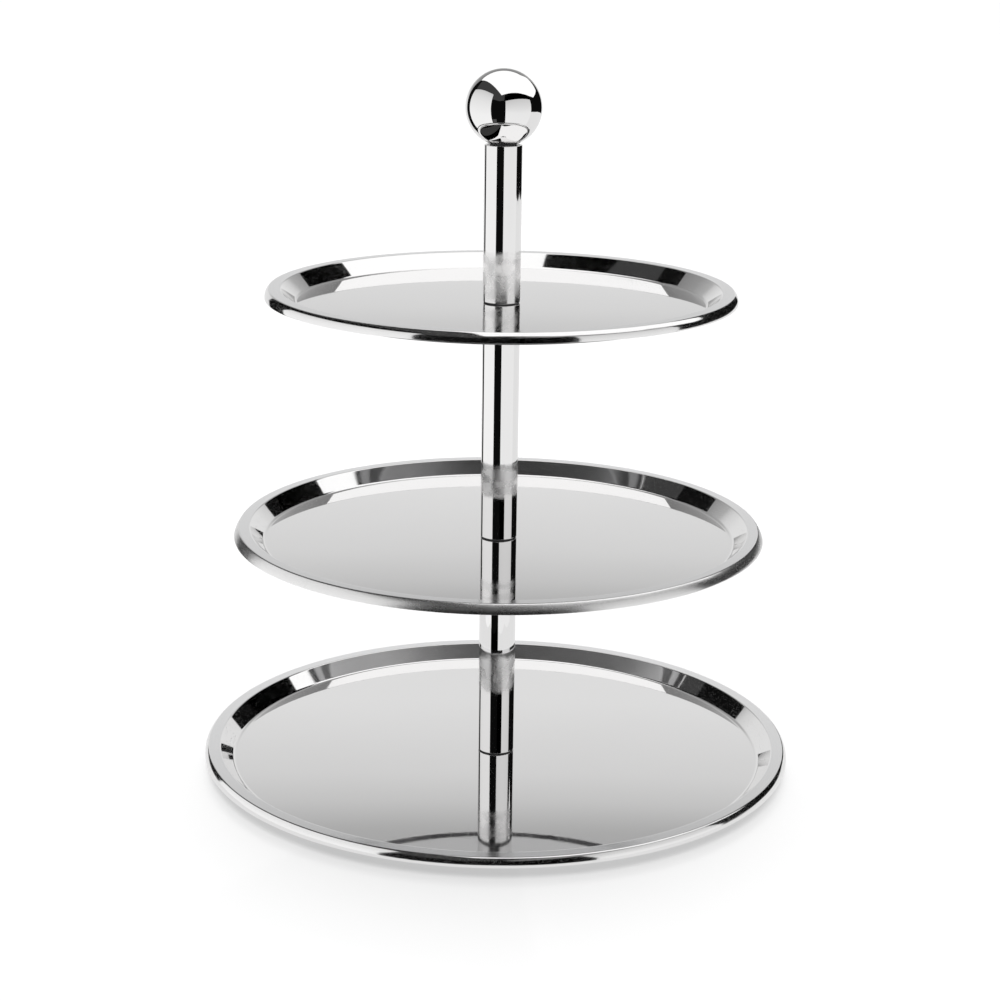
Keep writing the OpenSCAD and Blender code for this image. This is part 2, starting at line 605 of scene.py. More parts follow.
@dataclass(frozen=True)
class BrushedSteel:
    """Steel with a turned grain that runs round the axis.

    Args:
        name: the material's name.
        shade: how much light it returns.
        haze: lowest and highest roughness.
        grain: height of the grain in metres.
        pitch: how fine the grain is, per metre.
        around: how fast it changes round the axis.
        contrast: how much the grain changes the shade.
    """

    name: str
    shade: float = 0.78
    haze: tuple[float, float] = (0.16, 0.28)
    grain: float = 0.000004
    pitch: float = 2600.0
    around: float = 2.0
    contrast: float = 0.05

    def make(self) -> bpy.types.Material:
        """Builds the material.

        Returns:
            The material.
        """
        s = Sheet(self.name)
        steel = s.surface(1.0, STEEL_IOR)
        coords = s.round_coords(self.around, self.pitch)
        grain = s.cloud(1.0, 3.0, coords, 0.65)
        fine = s.cloud(3.1, 2.0, coords, 0.6)
        k, c = self.shade, self.contrast
        s.join(s.tint(grain, (k - c, k - c, k - c + 0.004), (k + c, k + c, k + c + 0.004)),
               steel.inputs["Base Color"])
        s.join(s.spread(fine, 0.3, 0.7, *self.haze), steel.inputs["Roughness"])
        normal = s.bump(grain, self.grain)
        normal = s.bump(s.cloud(30.0, 1.0), 0.00002, normal)
        s.join(normal, steel.inputs["Normal"])
        return s.material


@dataclass(frozen=True)
class SoftBlack:
    """Black fibre or rubber, matt, with a fine grain.

    Args:
        name: the material's name.
        shade: its colour.
        dust: its colour where it is worn or dusty.
        rough: lowest and highest roughness.
        grain: height of the grain in metres.
        grain_size: how fine the grain is, per metre.
    """

    name: str
    shade: tuple[float, float, float] = (0.012, 0.012, 0.013)
    dust: tuple[float, float, float] = (0.05, 0.05, 0.05)
    rough: tuple[float, float] = (0.55, 0.8)
    grain: float = 0.00003
    grain_size: float = 1800.0

    def make(self) -> bpy.types.Material:
        """Builds the material.

        Returns:
            The material.
        """
        s = Sheet(self.name)
        skin = s.surface(0.0, 1.5)
        worn = s.spread(s.cloud(210.0, 4.0), 0.55, 0.75, 0.0, 1.0)
        s.join(s.tint(worn, self.shade, self.dust), skin.inputs["Base Color"])
        s.join(s.spread(s.cloud(420.0, 2.0), 0.3, 0.7, *self.rough), skin.inputs["Roughness"])
        s.join(s.bump(s.cloud(self.grain_size, 2.0), self.grain), skin.inputs["Normal"])
        return s.material


@dataclass
class Finishes:
    """Every finish of the stand, made once."""

    floor: bpy.types.Material = field(init=False)
    wall: bpy.types.Material = field(init=False)
    under: dict[str, bpy.types.Material] = field(init=False)
    rim: bpy.types.Material = field(init=False)
    edge: dict[str, bpy.types.Material] = field(init=False)
    back: bpy.types.Material = field(init=False)
    tube: dict[str, bpy.types.Material] = field(init=False)
    ball: bpy.types.Material = field(init=False)
    plug: bpy.types.Material = field(init=False)
    zinc: bpy.types.Material = field(init=False)
    ring: bpy.types.Material = field(init=False)
    rubber: bpy.types.Material = field(init=False)

    def __post_init__(self) -> None:
        """Makes the materials."""
        self.floor = MirrorSteel("buffed_floor_steel", haze=(0.012, 0.035), wave=0.0001,
                                 wave_size=7.0, lines=0.08, crown=0.08).make()
        self.wall = MirrorSteel("buffed_wall_steel", haze=(0.02, 0.05), lines=0.35).make()
        self.edge = {
            node: MirrorSteel(f"buffed_{node}_edge_steel", haze=haze, rings=0.000002,
                              ring_pitch=2600.0, lines=0.5).make()
            for node, haze in (("bottom_tray", (0.06, 0.11)), ("middle_tray", (0.2, 0.3)),
                               ("top_tray", (0.06, 0.11)))}
        # inner face of the turned-down edge: rough steel with a base colour of only 0.16, which
        # paints the shade inside the edge
        self.back = BrushedSteel("dull_painted_shade_edge_back_steel", shade=0.16, haze=(0.4, 0.55)).make()
        # undersides: satin steel with a darker base colour than the upper faces (0.55, and 0.32
        # under the top tray), which paints the shade under each tray
        self.under = {
            node: BrushedSteel(f"satin_painted_shade_{node}_under_steel", shade=shade, haze=(0.3, 0.42),
                               grain=0.000003, pitch=1500.0).make()
            for node, shade in (("bottom_tray", 0.55), ("middle_tray", 0.55), ("top_tray", 0.32))}
        self.rim = BrushedSteel("turned_rim_steel", shade=0.84, haze=(0.07, 0.15),
                                grain=0.000003, contrast=0.04).make()
        bands = {"lower": (0.044, 0.0645), "middle": (0.157, 0.173), "upper": (0.2635, 0.289)}
        self.tube = {
            level: MirrorSteel(f"buffed_{level}_tube_steel", haze=(0.008, 0.022), wave=0.000004,
                               wave_size=60.0, rings=0.0000004, ring_pitch=8.0,
                               around=60.0, lines=0.05, frost=band).make()
            for level, band in bands.items()}
        self.ball = MirrorSteel("buffed_ball_steel", haze=(0.01, 0.025), wave=0.000004,
                                wave_size=70.0, rings=0.0000002, ring_pitch=900.0,
                                around=4.0, lines=0.04).make()
        self.plug = BrushedSteel("turned_plug_steel", shade=0.62, haze=(0.25, 0.4),
                                 grain=0.00001, pitch=5200.0).make()
        self.zinc = BrushedSteel("zinc_screw", shade=0.60, haze=(0.2, 0.42), grain=0.000006,
                                 pitch=3000.0, contrast=0.08).make()
        self.ring = SoftBlack("black_fibre_ring", shade=(0.05, 0.05, 0.052)).make()
        self.rubber = SoftBlack("black_foot_rubber", shade=(0.016, 0.016, 0.017),
                                dust=(0.07, 0.068, 0.065), grain=0.00005,
                                grain_size=2400.0).make()


# ------------------------------------------------------- geometry node tools


class Recipe(Tree):
    """A geometry node tree with named inputs."""

    def __init__(self, name: str) -> None:
        """Starts an empty tree.

        Args:
            name: the tree's name.
        """
        self.tree = bpy.data.node_groups.new(name, "GeometryNodeTree")
        for way in ("INPUT", "OUTPUT"):
            self.tree.interface.new_socket("Geometry", in_out=way,
                                           socket_type="NodeSocketGeometry")
        self.ids: dict[str, str] = {}
        self.values: dict[str, object] = {}
        self.start = self.tree.nodes.new("NodeGroupInput")
        self.end = self.tree.nodes.new("NodeGroupOutput")

    def ask(self, name: str, value: object,
            kind: str = "NodeSocketFloat") -> bpy.types.NodeSocket:
        """Adds a named input.

        Args:
            name: the input's name.
            value: the value it gets on the modifier.
            kind: its socket type.

        Returns:
            The input's socket inside the tree.
        """
        item = self.tree.interface.new_socket(name, in_out="INPUT", socket_type=kind)
        self.ids[name] = item.identifier
        self.values[name] = value
        return self.start.outputs[name]

    def finish(self, geometry: bpy.types.NodeSocket, look: bpy.types.Material) -> None:
        """Ends the tree with real geometry and its material.

        Args:
            geometry: what the tree has made.
            look: its material.
        """
        real = self.node("GeometryNodeRealizeInstances")
        smooth = self.node("GeometryNodeSetShadeSmooth")
        paint = self.node("GeometryNodeSetMaterial")
        paint.inputs["Material"].default_value = look
        self.join(geometry, real.inputs[0])
        self.join(real.outputs[0], smooth.inputs[0])
        self.join(smooth.outputs[0], paint.inputs[0])
        self.join(paint.outputs[0], self.end.inputs[0])

    def apply(self, name: str, start: Optional[bpy.types.Object] = None) -> bpy.types.Object:
        """Runs the tree and keeps its result as a plain mesh.

        Args:
            name: the piece's name.
            start: the object that the tree starts from, which is used up.

        Returns:
            The piece.
        """
        spare = name + "_host"
        host = start or link(bpy.data.objects.new(spare, bpy.data.meshes.new(spare)))
        modifier = host.modifiers.new("recipe", "NODES")
        modifier.node_group = self.tree
        for key, value in self.values.items():
            modifier[self.ids[key]] = value
        bpy.context.view_layer.update()
        graph = bpy.context.evaluated_depsgraph_get()
        mesh = bpy.data.meshes.new_from_object(host.evaluated_get(graph))
        mesh.name = name
        bpy.data.objects.remove(host)
        return link(bpy.data.objects.new(name, mesh))


@dataclass(frozen=True)
class ScrewThread:
    """A threaded rod on the column's axis, with a rolled thread and chamfered ends.

    Args:
        name: the piece's name.
        radius: outer radius of the thread.
        bottom: lowest point.
        top: highest point.
        pitch: rise of one turn.
        depth: depth of the thread.
        tip: height of the chamfers.
        rows: how many rows of points a turn of the thread has.
        around: how many points a row has.
    """

    name: str
    radius: float
    bottom: float
    top: float
    pitch: float = 0.001
    depth: float = 0.00055
    tip: float = 0.0006
    rows: int = 10
    around: int = 49

    def make(self, look: bpy.types.Material) -> bpy.types.Object:
        """Builds the rod from a grid that is wrapped round the axis.

        Args:
            look: its material.

        Returns:
            The piece.
        """
        g = Recipe("thread_" + self.name)
        radius = g.ask("Radius", self.radius)
        bottom = g.ask("Bottom", self.bottom)
        length = g.ask("Length", self.top - self.bottom)
        pitch = g.ask("Pitch", self.pitch)
        depth = g.ask("Depth", self.depth)
        tip = g.ask("Tip", self.tip)
        turns = (self.top - self.bottom) / self.pitch
        rows = g.ask("Rows", int(turns * self.rows) + 3, "NodeSocketInt")
        grid = g.node("GeometryNodeMeshGrid")
        grid.inputs["Size X"].default_value = 1.0
        grid.inputs["Size Y"].default_value = 1.0
        grid.inputs["Vertices X"].default_value = self.around
        g.join(rows, grid.inputs["Vertices Y"])
        at = g.split(g.node("GeometryNodeInputPosition").outputs[0])
        turn_share = g.sum("ADD", at["X"], 0.5)
        rise = g.sum("ADD", at["Y"], 0.5)
        angle = g.sum("MULTIPLY", turn_share, 2 * math.pi)
        height = g.sum("MULTIPLY", rise, length)
        # a rounded V, one turn to a pitch
        wave = g.sum("FRACT", g.sum("SUBTRACT", g.sum("DIVIDE", height, pitch), turn_share))
        tooth = g.sum("ABSOLUTE", g.sum("SUBTRACT", g.sum("MULTIPLY", wave, 2.0), 1.0))
        tooth = g.sum("SMOOTH_MAX", g.sum("SMOOTH_MIN", tooth, 0.88, 0.1), 0.1, 0.1)
        cut = g.sum("MULTIPLY", tooth, depth)
        # chamfers
        edge = g.sum("MINIMUM", height, g.sum("SUBTRACT", length, height))
        slack = g.sum("MAXIMUM", g.sum("SUBTRACT", tip, edge), 0.0)
        r = g.sum("MINIMUM", g.sum("SUBTRACT", radius, cut), g.sum("SUBTRACT", radius, slack))
        # the first and last rows close on the axis
        inside = g.sum("MINIMUM", rise, g.sum("SUBTRACT", 1.0, rise))
        inner = g.sum("GREATER_THAN", inside, 0.0005)
        r = g.sum("MULTIPLY", r, inner)
        spot = g.node("ShaderNodeCombineXYZ")
        g.join(g.sum("MULTIPLY", r, g.sum("COSINE", angle)), spot.inputs["X"])
        g.join(g.sum("MULTIPLY", r, g.sum("SINE", angle)), spot.inputs["Y"])
        g.join(g.sum("ADD", bottom, height), spot.inputs["Z"])
        move = g.node("GeometryNodeSetPosition")
        g.join(grid.outputs["Mesh"], move.inputs["Geometry"])
        g.join(spot.outputs[0], move.inputs["Position"])
        weld = g.node("GeometryNodeMergeByDistance")
        weld.inputs["Distance"].default_value = 1e-6
        g.join(move.outputs[0], weld.inputs[0])
        g.finish(weld.outputs[0], look)
        piece = g.apply(self.name)
        outward(piece)
        return piece


def outward(obj: bpy.types.Object) -> None:
    """Makes a closed mesh's faces point outwards."""
    bm = bmesh.new()
    bm.from_mesh(obj.data)
    bmesh.ops.remove_doubles(bm, verts=bm.verts, dist=1e-7)
    bmesh.ops.recalc_face_normals(bm, faces=bm.faces)
    bm.to_mesh(obj.data)
    bm.free()


# ------------------------------------------------------------- sub-assemblies


@dataclass
class Part:
    """What every sub-assembly shares: it makes pieces that stand for CAD nodes.

    Args:
        finishes: the stand's finishes.
    """

    finishes: Finishes

    def seat(self, piece: bpy.types.Object, body: str, node: str,
             slot: str) -> bpy.types.Object:
        """Fixes a piece to a body in place of a CAD node.

        Args:
            piece: the piece.
            body: the body it rides on.
            node: the CAD node it stands for.
            slot: the record's material slot; not used.

        Returns:
            The piece.
        """
        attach(piece, body)
        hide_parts(node)
        LOG.info("%s rides on %s", piece.name, body)
        return piece

    @staticmethod
    def span(node: str) -> tuple[float, float, float]:
        """The outer radius and the lowest and highest point of a round CAD node."""
        low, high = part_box(node)
        return (high[0] - low[0]) / 2, low[2], high[2]

    def flat_ring(self, node: str, body: str, slot: str, look: bpy.types.Material,
                  hole: float = SCREW_HOLE, ease: tuple[float, float] = (0.0001, 0.0002),
                  hold: float = 0.0001, around: int = 160) -> bpy.types.Object:
        """Builds a washer, pad or soft ring.

        Args:
            node: its CAD node.
            body: the body it rides on.
            slot: the record's material slot.
            look: its material.
            hole: radius of its hole.
            ease: rounding of its inner and outer edges.
            hold: distance from a rounding to the ring that keeps a face flat.
            around: how many stretches the full turn is cut into.

        Returns:
            The piece.
        """
        r, low, high = self.span(node)
        inner, outer = ease
        outline = Outline([
            Corner(hole, low, inner), Corner(r, low, outer),
            Corner(r, high, outer), Corner(hole, high, inner),
        ], steps=4, hold=hold)
        return self.seat(turn(node + "_cut", outline, (look,), around), body, node, slot)

    def threaded(self, node: str, body: str) -> bpy.types.Object:
        """Builds a stud.

        Args:
            node: its CAD node.
            body: the body it rides on.

        Returns:
            The piece.
        """
        r, low, high = self.span(node)
        piece = ScrewThread(node + "_threaded", r, low, high).make(self.finishes.zinc)
        return self.seat(piece, body, node, "screw_zinc")


@dataclass
class TrayTier(Part):
    """One pressed tray: a floor, a sloping wall, a flat rim and a turned-down edge.

    Args:
        node: its CAD node.
        body: the body it rides on.
        sheet: thickness of the steel.
        rim: width of the flat rim.
        run: horizontal run of the wall.
        lip: height of the turned-down edge.
        roll: the edge's shape, as distance along it and slope of its normal in degrees.
        hole: radius of the screw hole.
        fold: radius of the bends on the upper side.
        nick: rounding of the hole and of the cut edge.
    """

    node: str = ""
    body: str = ""
    sheet: float = 0.001
    rim: float = 0.0085
    run: float = 0.0075
    lip: float = 0.005
    roll: Sequence[tuple[float, float]] = ROUND_EDGE
    hole: float = SCREW_HOLE
    fold: float = 0.0009
    nick: float = 0.0002

    def make(self) -> bpy.types.Object:
        """Builds the tray.

        Returns:
            The piece.
        """
        edge, low, high = self.span(self.node)
        floor = low + self.sheet
        crease = edge - self.rim
        foot = crease - self.run
        t = self.sheet
        slope = math.atan2(high - floor, self.run)
        shift = t * math.tan(slope / 2)
        base, wall, rim, lip, under, back = range(6)
        bottom = high - self.lip
        edge_way = curl(self.roll, edge, high, bottom + self.nick)
        outer = [Corner(p.x, p.y, 0.0, lip if k else rim) for k, (p, _) in enumerate(edge_way)]
        inner = [Corner(p.x - t * n.x, p.y - t * n.y, 0.0, back) for p, n in reversed(edge_way)]
        inner[-1] = Corner(inner[-1].r, high - t, 0.0, under)
        outline = Outline([
            Corner(self.hole, floor, self.nick, base),
            Corner(foot * 0.5, floor, 0.0, base),
            Corner(foot, floor, self.fold * 3, wall),
            Corner(crease, high, self.fold * 1.2, rim),
            *outer,
            Corner(edge, bottom, self.nick, lip),
            Corner(edge - t, bottom, self.nick, back),
            *inner,
            Corner(crease + shift, high - t, self.fold, under),
            Corner(foot + shift, floor - t, self.fold * 3 + t, under),
            Corner(foot * 0.5, floor - t, 0.0, under),
            Corner(self.hole, floor - t, self.nick, base),
        ], steps=9)
        f = self.finishes
        # the underside and the inner face of the edge take finishes with painted shade in their
        # base colour
        looks = (f.floor, f.wall, f.rim, f.edge[self.node], f.under[self.node], f.back)
        piece = turn(self.node + "_shell", outline, looks, 320)
        return self.seat(piece, self.body, self.node, "tray_steel")


@dataclass
class Tier(Part):
    """One length of the column: its tube, plugs, soft ring and stud.

    Args:
        level: lower, middle or upper.
        bore: radius of the tube's bore.
        ease: rounding of the tube's ends, outside.
        inner_ease: rounding of its ends, inside.
        stud: the node of the stud in its top plug, if it has one.
        thread: radius of the plug's threaded hole.
    """

    level: str = ""
    bore: float = 0.0088
    ease: float = 0.00025
    inner_ease: float = 0.00015
    stud: Optional[str] = None
    thread: float = THREAD

    def tube(self) -> bpy.types.Object:
        """Builds the tube.

        Returns:
            The piece.
        """
        node = self.level + "_tube"
        r, low, high = self.span(node)
        outline = Outline([
            Corner(self.bore, low, self.inner_ease),
            Corner(r, low, self.ease),
            Corner(r, (low + high) / 2),
            Corner(r, high, self.ease),
            Corner(self.bore, high, self.inner_ease),
        ], steps=6)
        return self.seat(turn(node + "_shell", outline, (self.finishes.tube[self.level],), 192),
                         self.level + "_column", node, "tube_steel")

    def plug(self, end: str) -> bpy.types.Object:
        """Builds one threaded plug.

        Args:
            end: top or bottom.

        Returns:
            The piece.
        """
        node = f"{self.level}_tube_{end}_plug"
        r, low, high = self.span(node)
        hole = self.thread + CLEARANCE
        outline = Outline([
            Corner(hole + MOUTH, low, 0.0001),
            Corner(r, low, 0.0003),
            Corner(r, high, 0.0003),
            Corner(hole + MOUTH, high, 0.0001),
            Corner(hole, high - MOUTH, 0.0001),
            Corner(hole, low + MOUTH, 0.0001),
        ], steps=4)
        return self.seat(turn(node + "_turned", outline, (self.finishes.plug,), 96),
                         self.level + "_column", node, "plug_steel")

    def make(self) -> None:
        """Builds every piece of this length of the column."""
        self.tube()
        self.plug("top")
        self.plug("bottom")
        self.flat_ring(self.level + "_gasket", self.level + "_ring", "soft_ring",
                       self.finishes.ring, hold=0.00004, around=128)
        if self.stud:
            self.threaded(self.stud, self.level + "_column")


@dataclass
class Knob(Part):
    """The hollow ball with its insert, screw and washer.

    Args:
        wall: thickness of the ball.
        neck: radius of the hole that the insert fills.
        thread: radius of the insert's hole.
        flat: height that the flat base takes off the ball.
        cap: thickness of the insert above its hole.
    """

    wall: float = 0.0012
    neck: float = 0.007
    thread: float = THREAD
    flat: float = 0.0016
    cap: float = 0.002

    def ball(self) -> bpy.types.Object:
        """Builds the hollow ball with its flat base.

        Returns:
            The piece.
        """
        _, low, high = self.span("ball_knob")
        r = (high - low + self.flat) / 2
        centre = high - r
        drop = centre - low
        points: list[Corner] = []
        rim = math.acos(drop / r)
        for k in range(97):
            t = math.pi - (math.pi - rim) * k / 96
            points.append(Corner(r * math.sin(t) if k else 0.0, centre - r * math.cos(t)))
        points.append(Corner(self.neck, low, 0.0001))
        inner = r - self.wall
        lip = math.asin(self.neck / inner)
        for k in range(49):
            t = lip + (math.pi - lip) * k / 48
            points.append(Corner(inner * math.sin(t) if k < 48 else 0.0,
                                 centre - inner * math.cos(t)))
        piece = turn("ball_knob_shell", Outline(points, closed=False, hold=1.0),
                     (self.finishes.ball,), 192)
        return self.seat(piece, "knob", "ball_knob", "knob_steel")

    def insert(self) -> bpy.types.Object:
        """Builds the threaded insert.

        Returns:
            The piece.
        """
        r, low, high = self.span("knob_insert")
        deep = high - self.cap
        hole = self.thread + CLEARANCE
        outline = Outline([
            Corner(0.0, deep),
            Corner(hole, deep, 0.0001),
            Corner(hole, low + MOUTH, 0.0001),
            Corner(self.thread + MOUTH, low, 0.0001),
            Corner(r, low, 0.0003),
            Corner(r, high, 0.0004),
            Corner(0.0, high),
        ], closed=False, steps=4)
        return self.seat(turn("knob_insert_turned", outline, (self.finishes.plug,), 96),
                         "knob", "knob_insert", "plug_steel")

    def make(self) -> bpy.types.Object:
        """Builds every piece of the knob.

        Returns:
            The ball.
        """
        ball = self.ball()
        self.insert()
        self.flat_ring("knob_washer", "knob_ring", "soft_ring", self.finishes.ring,
                       hold=0.00005, around=128)
        self.threaded("knob_stud", "knob")
        return ball


@dataclass
class BaseFixings(Part):
    """What is under the bottom tray: pad, washer, socket screw and feet.

    Args:
        socket: flat-to-centre distance of the socket.
        socket_deep: depth of the socket.
        head_high: height of the screw's head.
        foot: radius of a foot.
    """

    socket: float = 0.002
    socket_deep: float = 0.0022
    head_high: float = 0.0032
    foot: float = 0.007

    def screw(self) -> bpy.types.Object:
        """Builds the low-head socket screw with its threaded shank.

        Returns:
            The piece.
        """
        r, low, high = self.span("base_screw")
        head = low + self.head_high
        ceiling = low + self.socket_deep
        outline = Outline([
            Corner(0.0, ceiling + 0.0004),
            Corner(self.socket * 0.9, ceiling, 0.0, 0, Turned.HEX),
            Corner(self.socket, ceiling - 0.0002, 0.0, 0, Turned.HEX),
            Corner(self.socket, low + 0.00035, 0.0, 0, Turned.HEX),
            Corner(self.socket * 1.32, low, 0.0001),
            Corner(r * 0.6, low, 0.0012),
            Corner(r * 0.93, low + self.head_high * 0.5, 0.0012),
            Corner(r, head - 0.0002, 0.0002),
            Corner(r - 0.0002, head, 0.0001),
            Corner(0.0028, head, 0.0001),
            Corner(0.0028, head + 0.0003),
            Corner(0.0, head + 0.0003),
        ], closed=False, steps=6, hold=0.00008)
        piece = turn("base_screw_head", outline, (self.finishes.zinc,), 144)
        shank = ScrewThread("base_screw_shank", THREAD, head - 0.0001, high)
        shank = shank.make(self.finishes.zinc)
        bm = bmesh.new()
        bm.from_mesh(piece.data)
        bm.from_mesh(shank.data)
        bm.to_mesh(piece.data)
        bm.free()
        bpy.data.objects.remove(shank)
        return self.seat(piece, "base", "base_screw", "screw_zinc")

    def feet(self) -> bpy.types.Object:
        """Builds one ribbed rubber foot and copies it round the tray.

        Returns:
            The piece.
        """
        _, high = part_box("rubber_feet")
        size = self.foot
        reach = (high[0] - size) * math.sqrt(2)
        tall = high[2]
        one = turn("foot_shape", Outline([
            Corner(0.0, 0.0004), Corner(0.0022, 0.0004, 0.0002), Corner(0.0026, 0.0, 0.0002),
            Corner(size - 0.0006, 0.0, 0.0009), Corner(size, tall - 0.0012, 0.0003),
            Corner(size - 0.0004, tall - 0.0009, 0.0003), Corner(size, tall - 0.0004, 0.0003),
            Corner(size, tall, 0.0001), Corner(0.0, tall),
        ], closed=False, steps=5), (self.finishes.rubber,), 64)
        g = Recipe("feet_round_the_tray")
        reach_in = g.ask("Reach", reach)
        count = g.ask("Count", 4, "NodeSocketInt")
        circle = g.node("GeometryNodeMeshCircle")
        g.join(reach_in, circle.inputs["Radius"])
        g.join(count, circle.inputs["Vertices"])
        swing = g.node("GeometryNodeTransform")
        swing.inputs["Rotation"].default_value = (0.0, 0.0, math.pi / 4)
        g.join(circle.outputs["Mesh"], swing.inputs["Geometry"])
        copies = g.node("GeometryNodeInstanceOnPoints")
        g.join(swing.outputs[0], copies.inputs["Points"])
        g.join(g.start.outputs["Geometry"], copies.inputs["Instance"])
        g.finish(copies.outputs[0], self.finishes.rubber)
        piece = g.apply("rubber_feet_ribbed", one)
        return self.seat(piece, "base", "rubber_feet", "foot_rubber")

    def make(self) -> None:
        """Builds every piece under the bottom tray."""
        self.flat_ring("base_pad", "base", "soft_ring", self.finishes.ring)
        self.flat_ring("base_washer", "base", "plug_steel", self.finishes.plug,
                       hole=0.0032, ease=(0.00015, 0.0003))
        self.screw()
        self.feet()


# -------------------------------------------------------------------- studio


def upright(a: tuple[float, float], b: tuple[float, float], low: tuple[float, float],
            high: tuple[float, float]) -> tuple[tuple[float, float, float], ...]:
    """The corners of an upright card.

    Args:
        a: x and y of its first side.
        b: x and y of its second side.
        low: the lowest point of each side.
        high: the highest point of each side.

    Returns:
        The corners in order.
    """
    return (*a, low[0]), (*b, low[1]), (*b, high[1]), (*a, high[0])


def level(outline: Iterable[tuple[float, float]],
          z: float) -> tuple[tuple[float, float, float], ...]:
    """The corners of a level card, from its outline and height."""
    return tuple((x, y, z) for x, y in outline)


@dataclass(frozen=True)
class Panel:
    """A glowing or black card of the studio, seen only in polished steel.

    Args:
        name: its name.
        corners: its corners.
        glow: brightness as pairs of place and strength, in rising order of place.
        only: the pieces that see it, if not every piece does.
        along: the axis that the brightness changes along.
        without: the pieces that do not see it, if only some do not.
    """

    name: str
    corners: tuple[tuple[float, float, float], ...]
    glow: tuple[tuple[float, float], ...]
    only: Sequence[bpy.types.Object] = ()
    along: str = "Z"
    without: Sequence[bpy.types.Object] = ()

    def make(self) -> bpy.types.Object:
        """Builds the card.

        Returns:
            The card.
        """
        mesh = bpy.data.meshes.new(self.name)
        mesh.from_pydata([Vector(c) for c in self.corners], [], [tuple(range(len(self.corners)))])
        s = Sheet(self.name)
        light = s.node("ShaderNodeEmission")
        axes = s.split(s.place())
        low, high = self.glow[0][0], self.glow[-1][0]
        if high > low:
            ramp = s.node("ShaderNodeValToRGB")
            top = max(g for _, g in self.glow) or 1.0
            s.join(s.spread(axes[self.along], low, high, 0.0, 1.0), ramp.inputs[0])
            stops = ramp.color_ramp.elements
            while len(stops) < len(self.glow):
                stops.new(0.5)
            for stop, (z, g) in zip(stops, self.glow):
                stop.position = (z - low) / (high - low)
                stop.color = (g / top, g / top, g / top, 1)
            s.join(ramp.outputs["Color"], light.inputs["Color"])
            light.inputs["Strength"].default_value = top
        else:
            light.inputs["Strength"].default_value = self.glow[0][1]
        s.join(light.outputs[0], s.output.inputs["Surface"])
        mesh.materials.append(s.material)
        obj = link(bpy.data.objects.new(self.name, mesh))
        obj.visible_camera = False
        obj.visible_diffuse = False
        obj.visible_shadow = False
        obj.visible_transmission = False
        if self.only or self.without:
            group = bpy.data.collections.new(self.name + "_seen_by")
            for piece in (*self.only, *self.without):
                group.objects.link(piece)
            if self.without:
                for entry in group.collection_objects:
                    entry.light_linking.link_state = "EXCLUDE"
            obj.light_linking.receiver_collection = group
        return obj


